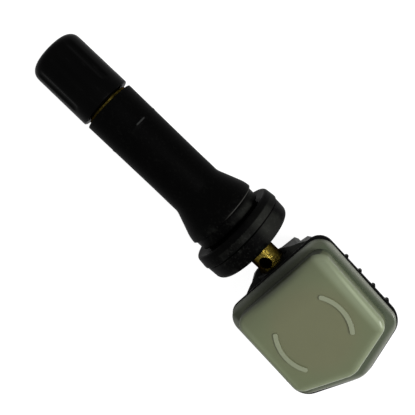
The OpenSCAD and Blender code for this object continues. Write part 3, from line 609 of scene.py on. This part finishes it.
# Names with U lie along the lid from its front edge, with Y across it, with W out of it, and with Drop
# from the dome's top. The lit and shaded places were set against the photo and belong to its light.
nylon = {
    "plain": (100, 107, 78), "overCell": (104, 106, 78), "shade": (24, 27, 18), "lit": (156, 166, 138),
    # the dome's walls take painted shade, darkest at the front; bar is the colour of the ribs
    "wall": (70, 78, 60), "frontWallShade": (38, 42, 30), "bar": (138, 144, 120),
    # the ring takes painted shade at its root and painted light on its rounded outer edge
    "ringEdge": (120, 123, 112), "ringRootShade": (76, 84, 66), "ringFarRootShade": (64, 68, 54),
    "frontEdgeLight": (98, 101, 92), "frontRootShade": (78, 82, 68),
    "gloss": 0.28, "roughness": 0.24, "coat": 0.08, "coatRoughness": 0.15, "scatter": 0.12, "scatterDeep": 0.8,
    "cloud": (4, 3), "grain": (0.35, 2), "bump": 0.003,
    "cellRim": (1.2, -2.5), "litDrop": (-1.6, -0.5), "litY": (7.4, 8.9, 0.4), "litTip": (20.0, 22.0, 0.45),
    "litFarY": (-8.5, -9.3, 0.12),
    "lineY": 9.85, "lineLean": 0.04, "lineWide": (0.42, 0.05, 0.4), "lineU": (4, 11),
    "shadeFromFront": ((1.8, 0.7), (2, 0.54), (2.5, 0.38), (3, 0.26), (4, 0.16), (5.5, 0.08), (8, 0)),
    "farY": (-8.5, -10.2), "wallW": (2.4, 0.5), "frontU": (2.4, 1.2), "frontWallU": (2.7, 2.3),
    "frontWallDrop": (-0.35, -0.7), "ringIn": (1.0, 0.2), "ringW": (0.2, 0.05),
    "valveShadowY": (8, 2, 0.55), "valveShadowU": (3.5, 2), "barDrop": (0.02, 0.14, 0.8), "barPast": (0.1, -0.15),
    "mattDrop": (-0.15, -0.7), "mattU": (4.5, 3), "mattY": (-8.4, -9.6),
}


def naturalNylon():
    d, n = lid, nylon
    finish = Finish("natural_nylon", Specular_IOR_Level=n["gloss"], Coat_Roughness=n["coatRoughness"],
                    Subsurface_Weight=n["scatter"], Subsurface_Scale=n["scatterDeep"] * mm,
                    Subsurface_Radius=(1.0, 1.0, 0.7))
    u, y, w = bodyParts(finish)
    half = d["width"] / 2
    slope = d["tip"] / half
    along = u + y.size() * slope                           # the same all along the two tip edges
    drop = w - d["domeH"]
    cloud = finish.noise(*n["cloud"])
    grain = finish.noise(*n["grain"])
    overCell = finish.fade(((u - d["cellU"]) ** 2 + y * y) ** 0.5 - d["cellR"], *n["cellRim"])
    # painted highlight along the top edge of the +Y side
    line = finish.near(y + u * n["lineLean"], n["lineY"], *n["lineWide"]) * finish.fade(u, *n["lineU"])
    lit = (finish.fade(y, *n["litY"]) + line).most(finish.fade(along, *n["litTip"])) \
        .most(finish.fade(y, *n["litFarY"])) * finish.fade(drop, *n["litDrop"])
    reach = n["shadeFromFront"][-1][0]
    shade = finish.ramp(u / reach, [(place / reach, share) for place, share in n["shadeFromFront"]])
    far = finish.fade(y, *n["farY"])                       # the side of which only the top is seen
    front = finish.fade(u, *n["frontU"])
    # painted shade on the dome's wall, darker towards its foot; the wall colour also tints the cloud
    wall = finish.fade(w, *n["wallW"]) * (1 - far)
    # painted shade down the front wall of the dome
    frontWallShade = finish.fade(drop, *n["frontWallDrop"]) * finish.fade(u, *n["frontWallU"])
    fromTip = (d["length"] + d["tip"] + d["ringOver"][2] - along) / math.hypot(1, slope)
    fromEdge = (half + d["ringOver"][1] - y.size()).least(u).least(fromTip)
    # painted shade at the ring's root and a painted highlight on its rounded outer edge
    root = finish.layers(n["ringRootShade"], (front, n["frontRootShade"]), (far, n["ringFarRootShade"]))
    edge = finish.blendColours(front, n["ringEdge"], n["frontEdgeLight"])
    ring = finish.blendColours(finish.fade(fromEdge, *n["ringIn"]), root, edge)
    middle = finish.fade(y.size(), *n["valveShadowY"]) * finish.fade(u, *n["valveShadowU"])    # painted shadow of the valve, darkest beside it
    toArc = ((u - d["arcU"]) ** 2 + (y - d["arcY"]) ** 2) ** 0.5
    barEdge = [d["arcW"] / 2 + past for past in n["barPast"]]
    onArc = finish.near(toArc, d["arcR"], *barEdge) * finish.fade(drop, *n["barDrop"])
    colour = finish.layers(
        n["plain"], (overCell, n["overCell"]), (cloud * 0.12, n["wall"]), (lit, n["lit"]), (shade, n["shade"]),
        (wall, n["wall"]), (frontWallShade, n["frontWallShade"]), (finish.fade(w, *n["ringW"]), ring),
        (middle, n["shade"]), (onArc, n["bar"]))
    matt = finish.fade(drop, *n["mattDrop"]) \
        * finish.fade(u, *n["mattU"]).most(finish.fade(y, *n["mattY"]))    # no gloss on these two edges
    return finish.wire(
        Base_Color=colour, Roughness=cloud * 0.08 + grain * 0.05 + matt * 0.5 + n["roughness"],
        Coat_Weight=n["coat"] * (1 - matt), Normal=finish.bump(grain, n["bump"]))


def roundedOutline(name, corners, radii, height):          # a flat face with rounded corners
    deselectAll()
    bpy.ops.mesh.primitive_circle_add(vertices=len(corners), radius=mm, fill_type="NGON")
    piece = bpy.context.object
    piece.name = name
    places = [Vector((u, y, height)) for u, y in corners]
    placePoints(piece, places)
    editMode()
    for index, (place, radius) in enumerate(zip(places, radii)):
        before = (places[index - 1] - place).normalized()
        after = (places[(index + 1) % len(places)] - place).normalized()
        half = before.angle(after) / 2
        selectPoints(piece, lambda co: (co - place).length < touching)
        bpy.ops.mesh.bevel(offset_type="OFFSET", offset=radius * mm / math.tan(half) * math.sin(2 * half),
                           affect="VERTICES", segments=14, profile=0.5, clamp_overlap=False)
    objectMode()
    return piece


def stepIn(thickness, depth):            # the selected face drawn in and raised, in mm
    bpy.ops.mesh.inset(thickness=thickness * mm, depth=depth * mm, use_even_offset=True)


def onBody(piece):                       # from the lid's own frame to the valve's
    activate(piece)
    piece.rotation_euler = (0, -math.radians(bodyFrame["tilt"]), 0)
    piece.location = (bodyFrame["x"] * mm, 0, bodyFrame["z"] * mm)
    bpy.ops.object.transform_apply(location=True, rotation=True, scale=True)


def lidCorners(inset, skew, over=(0, 0, 0)):     # the pentagon's corners, drawn in on every side, or let out
    half, length, tip = lid["width"] / 2, lid["length"], lid["tip"]
    slope = tip / half
    end = length + tip + over[2] - inset * math.hypot(1, slope)
    half += over[1] - inset
    side = end - half * slope
    front = inset - over[0]
    corners = [(front, -half), (side, -half), (end, 0), (side, half), (front, half)]
    return [(u + du, y + dy) for (u, y), (du, dy) in zip(corners, skew)]


def makePlate(name, corners, radii, bottom, top):          # a solid on the rounded pentagon
    piece = roundedOutline(name, corners, radii, bottom)
    editAll()
    bpy.ops.mesh.extrude_region_move(TRANSFORM_OT_translate={"value": (0, 0, (top - bottom) * mm)})
    bpy.ops.mesh.select_mode(type="FACE")
    return piece                          # still in edit mode, with the top face selected


def roundOver(radius, steps):             # the selected top face drawn in and raised along a quarter round
    last = 0
    for step in range(1, steps + 1):
        now = math.pi / 2 * step / steps
        stepIn(radius * (math.cos(last) - math.cos(now)), radius * (math.sin(now) - math.sin(last)))
        last = now


def makeArc(side):                        # one raised bar on the dome's top
    d = lid
    deselectAll()
    bpy.ops.mesh.primitive_plane_add(size=mm, location=(0, 0, 0))
    bar = bpy.context.object
    bar.name = "arc_bar"
    editAll()
    bpy.ops.transform.resize(value=(d["arcH"] + d["arcSink"], d["arcW"], 1), center_override=(0, 0, 0))
    bpy.ops.transform.rotate(value=math.pi / 2, orient_axis="Y", center_override=(0, 0, 0))
    bpy.ops.transform.translate(value=Vector((d["arcU"], d["arcY"] + side * d["arcR"],
                                              d["domeH"] + (d["arcH"] - d["arcSink"]) / 2)) * mm)
    centre = Vector((d["arcU"], d["arcY"], 0)) * mm
    half = math.radians(d["arcSpan"] / 2)
    bpy.ops.transform.rotate(value=-half, orient_axis="Z", center_override=centre)
    bpy.ops.mesh.spin(steps=28, angle=2 * half, center=centre, axis=(0, 0, 1))
    objectMode()
    tidySurface(bar)

    def uprightEnd(a, b):
        bearing = math.atan2(a.x - d["arcU"], side * (a.y - d["arcY"]))
        return (a.xy - b.xy).length < 0.01 and abs(abs(bearing) - half) < 0.03
    editMode()
    selectEdges(bar, uprightEnd)
    bpy.ops.mesh.bevel(offset=d["arcW"] * 0.46 * mm, segments=6, affect="EDGES", clamp_overlap=False)
    objectMode()
    applyModifier(bar, "BEVEL", width=d["arcEdge"] * mm, segments=3, limit_method="ANGLE",
                  angle_limit=math.radians(50))
    return bar


def makeLid(material):
    d = lid
    piece = makePlate("lid_shell", lidCorners(0, d["ringSkew"], d["ringOver"]), d["ringR"],
                      -d["ringT"], -d["ringEdge"])
    roundOver(d["ringEdge"], 6)
    objectMode()
    dome = makePlate("dome", lidCorners(d["ringShow"], d["domeSkew"]), d["domeR"], -d["ringT"] / 2, 0)
    stepIn(d["lean"], d["domeH"] - d["edgeR"])
    roundOver(d["edgeR"], 10)
    objectMode()
    combine(piece, dome, "UNION")
    inner = d["ringShow"] + d["wall"]
    hollow = makePlate("hollow", lidCorners(inner, d["domeSkew"]), d["hollowR"], -2 * d["ringT"], 0)
    stepIn(d["lean"], d["domeH"] - d["wall"])
    objectMode()
    combine(piece, hollow, "DIFFERENCE")
    for side in (-1, 1):
        combine(piece, makeArc(side), "UNION")
    onBody(piece)
    tidySurface(piece, 30)
    evenShade(piece)
    finishPiece(piece, material, "sensor", "lid")


housing = {
    "bevel": 0.1, "dark": (4, 4, 4), "light": (10, 10, 10), "worn": (34, 35, 33), "cradle": (66, 67, 64),
    "gloss": 0.04, "roughness": 0.4, "cloud": (4, 3), "grain": (0.15, 2), "bump": 0.02,
    "wornFlecks": (0.9, 5, 0.65, 0.52, 0.74),
    # where the painted light lies on the facets beside the stem
    "cradleX": (14.5, 13), "cradleZ": (4.8, 3.9), "cradleLeftY": (3, 5), "cradleRightY": (-3, -5, 0.25),
}


def blackNylon():
    h = housing
    finish = Finish("black_nylon", Specular_IOR_Level=h["gloss"])
    x, y, z = finish.parts()
    cloud = finish.noise(*h["cloud"])
    grain = finish.noise(*h["grain"])
    worn = finish.flecks(*h["wornFlecks"])
    sides = finish.fade(y, *h["cradleLeftY"]) + finish.fade(y, *h["cradleRightY"])
    cradle = finish.fade(x, *h["cradleX"]) * finish.fade(z, *h["cradleZ"]) * sides       # painted light on the facets beside the stem
    colour = finish.layers(finish.blendColours(cloud, h["dark"], h["light"]),
                           (cradle * (0.5 + cloud * 0.5), h["cradle"]), (worn * 0.3, h["worn"]))
    return finish.wire(Base_Color=colour, Roughness=cloud * 0.1 + grain * 0.08 + worn * 0.1 + h["roughness"],
                       Normal=finish.bump(grain, h["bump"]))


def platedSteel():
    finish = Finish("steel", Metallic=1.0)
    cloud = finish.noise(1.8, 4)
    grain = finish.noise(0.08, 2, finish.stretched((0.1, 1, 1)))
    return finish.wire(Base_Color=finish.blendColours(cloud, (196, 196, 200), (170, 170, 175)),
                       Roughness=cloud * 0.12 + grain * 0.1 + 0.2, Normal=finish.bump(grain, 0.005))


simpleFinishes = {                        # dark and light colour, least roughness, fleck size, bump depth
    "seal_rubber": ((40, 40, 41), (58, 58, 57), 0.55, 0.3, 0.012),
    "red_rubber": ((128, 44, 36), (158, 60, 48), 0.5, 0.2, 0.01),
    "chip": ((40, 40, 42), (54, 54, 56), 0.45, 0.12, 0.008),
    "filter": ((222, 222, 218), (240, 240, 236), 0.7, 0.08, 0.02),
    "ferrite": ((84, 84, 88), (108, 108, 112), 0.4, 0.15, 0.012),
}


def simpleFinish(name):                   # moulded, pressed or sintered
    dark, light, roughness, size, depth = simpleFinishes[name]
    finish = Finish(name)
    cloud = finish.noise(size * 8, 3)
    grain = finish.noise(size, 3)
    return finish.wire(Base_Color=finish.blendColours(cloud * 0.6 + grain * 0.4, dark, light),
                       Roughness=cloud * 0.1 + grain * 0.1 + roughness, Normal=finish.bump(grain, depth))


def boardGreen():                         # solder mask over the tracks, which show as faint lines
    finish = Finish("board", Coat_Weight=0.3, Coat_Roughness=0.15)
    tracks = finish.ramp(finish.bands(3.2, 3, 1), [(0.5, 0), (0.58, 1)])
    colour = finish.layers(finish.blendColours(tracks, (30, 88, 52), (52, 118, 70)),
                           (finish.noise(3, 2) * 0.3, (20, 62, 38)))
    return finish.wire(Base_Color=colour, Roughness=tracks * 0.08 + 0.32, Normal=finish.bump(tracks, 0.02))


def woundCopper():                        # enamelled wire, turn beside turn along the coil
    finish = Finish("copper", Metallic=1.0)
    turns = finish.bands(1.6, 0.4)
    return finish.wire(Base_Color=finish.blendColours(turns, (120, 66, 34), (206, 128, 78)),
                       Roughness=finish.noise(0.6, 3) * 0.14 + 0.24, Normal=finish.bump(turns, 0.04))


def plateNode(name, material):            # a carried-over node's own material slots
    piece = nodes[name]
    if not piece.material_slots:
        piece.data.materials.append(material)
    for slot in piece.material_slots:
        slot.material = material


camera = {
    "place": (-20.01, 26.85, 98.18),       # mm
    "turn": (-17.14, 5.02, 43.99),         # degrees
    "lens": 47.59, "sensor": 36, "nearest": 5,      # mm
}

studio = {
    "floorZ": -9.6,                        # mm
    "floorSize": 3,                        # m
    "ambient": 0.52, "floorTone": 0.22, "floorGlow": 0.92,
    "lamps": {                             # place in m, size in m, watts
        "key": ((0.13, 0.22, 0.30), 0.14, 1.05),
        "fill": ((-0.25, 0.05, 0.32), 0.5, 0.12),
    },
}


def addCamera():
    data = bpy.data.cameras.new("camera")
    data.lens = camera["lens"]
    data.sensor_width = camera["sensor"]
    data.clip_start = camera["nearest"] * mm
    seen = bpy.data.objects.new("camera", data)
    seen.location = [c * mm for c in camera["place"]]
    seen.rotation_euler = [math.radians(a) for a in camera["turn"]]
    bpy.context.scene.collection.objects.link(seen)
    bpy.context.scene.camera = seen


def whiteWhereSeen(tree):                # 1 where the camera, a reflection or glass looks, else 0
    path = tree.add("ShaderNodeLightPath")
    seen = path.output("Is Camera Ray").most(path.output("Is Glossy Ray"))
    return seen.most(path.output("Is Transmission Ray"))


def addWorld():
    world = bpy.data.worlds.new("world")
    tree = NodeTree(world)
    tree.nodes.clear()
    soft, white = (tree.add("ShaderNodeBackground", {}, {"Color": grey(1), "Strength": strength})
                   for strength in (studio["ambient"], 1))
    mix = tree.add("ShaderNodeMixShader", {}, {0: whiteWhereSeen(tree), 1: soft, 2: white})
    tree.add("ShaderNodeOutputWorld", {}, {"Surface": mix})
    bpy.context.scene.world = world


def addFloor():
    deselectAll()
    bpy.ops.mesh.primitive_plane_add(size=studio["floorSize"], location=(0, 0, studio["floorZ"] * mm))
    floor = bpy.context.object
    floor.name = "floor"
    bpy.ops.object.transform_apply(location=True)
    material = bpy.data.materials.new("floor_white")
    tree = NodeTree(material)
    tree.nodes.clear()
    paper = tree.add("ShaderNodeBsdfDiffuse", {}, {"Color": grey(studio["floorTone"])})
    glow = tree.add("ShaderNodeEmission", {}, {"Color": grey(studio["floorGlow"]),
                                               "Strength": whiteWhereSeen(tree)})
    both = tree.add("ShaderNodeAddShader", {}, {0: paper, 1: glow})
    tree.add("ShaderNodeOutputMaterial", {}, {"Surface": both})
    floor.data.materials.append(material)


def addLamps():
    target = Vector((0, 0, 0))
    for name, (place, size, watts) in studio["lamps"].items():
        data = bpy.data.lights.new(name, "AREA")
        data.size = size
        data.energy = watts
        lamp = bpy.data.objects.new(name, data)
        lamp.location = place
        lamp.rotation_euler = (target - Vector(place)).to_track_quat("-Z", "Y").to_euler()
        bpy.context.scene.collection.objects.link(lamp)


addCamera()
addWorld()
addFloor()
addLamps()
bpy.context.scene.view_settings.view_transform = "Standard"
print("studio ready")

finishes = {
    "black_plastic": blackPlastic(),
    "black_rubber": blackRubber(),
    "brass": brass(),
    "steel": platedSteel(),
    "black_nylon": blackNylon(),
    "natural_nylon": naturalNylon(),
    "board": boardGreen(),
    "copper": woundCopper(),
    **{name: simpleFinish(name) for name in simpleFinishes},
}
print("finishes ready")

makeRubber(finishes["black_rubber"])
makeCap(finishes["black_plastic"])
makeStem(finishes["brass"])
print("rubber, cap and stem ready")
makeLid(finishes["natural_nylon"])
print("lid ready")

copies = {                                # node: bevel in mm, body, slot
    "housing": (housing["bevel"], "sensor", "black_nylon"),
    "retaining_screw": (0.06, "sensor", "steel"),
    "core_plug": (0.06, "sensor", "brass"),
    "core_pin": (0.05, "valve_pin", "brass"),
}
for node, (bevel, body, slot) in copies.items():
    finishPiece(copyOfNode(node + "_piece", node, bevel), finishes[slot], body, node)
replaced = set(copies) | {"valve_rubber", "valve_cap", "valve_stem", "lid"}
for part in frame["record"]["subparts"]:
    if part["node"] not in replaced:
        plateNode(part["node"], finishes[part["material_slot"]])
print("all pieces ready")
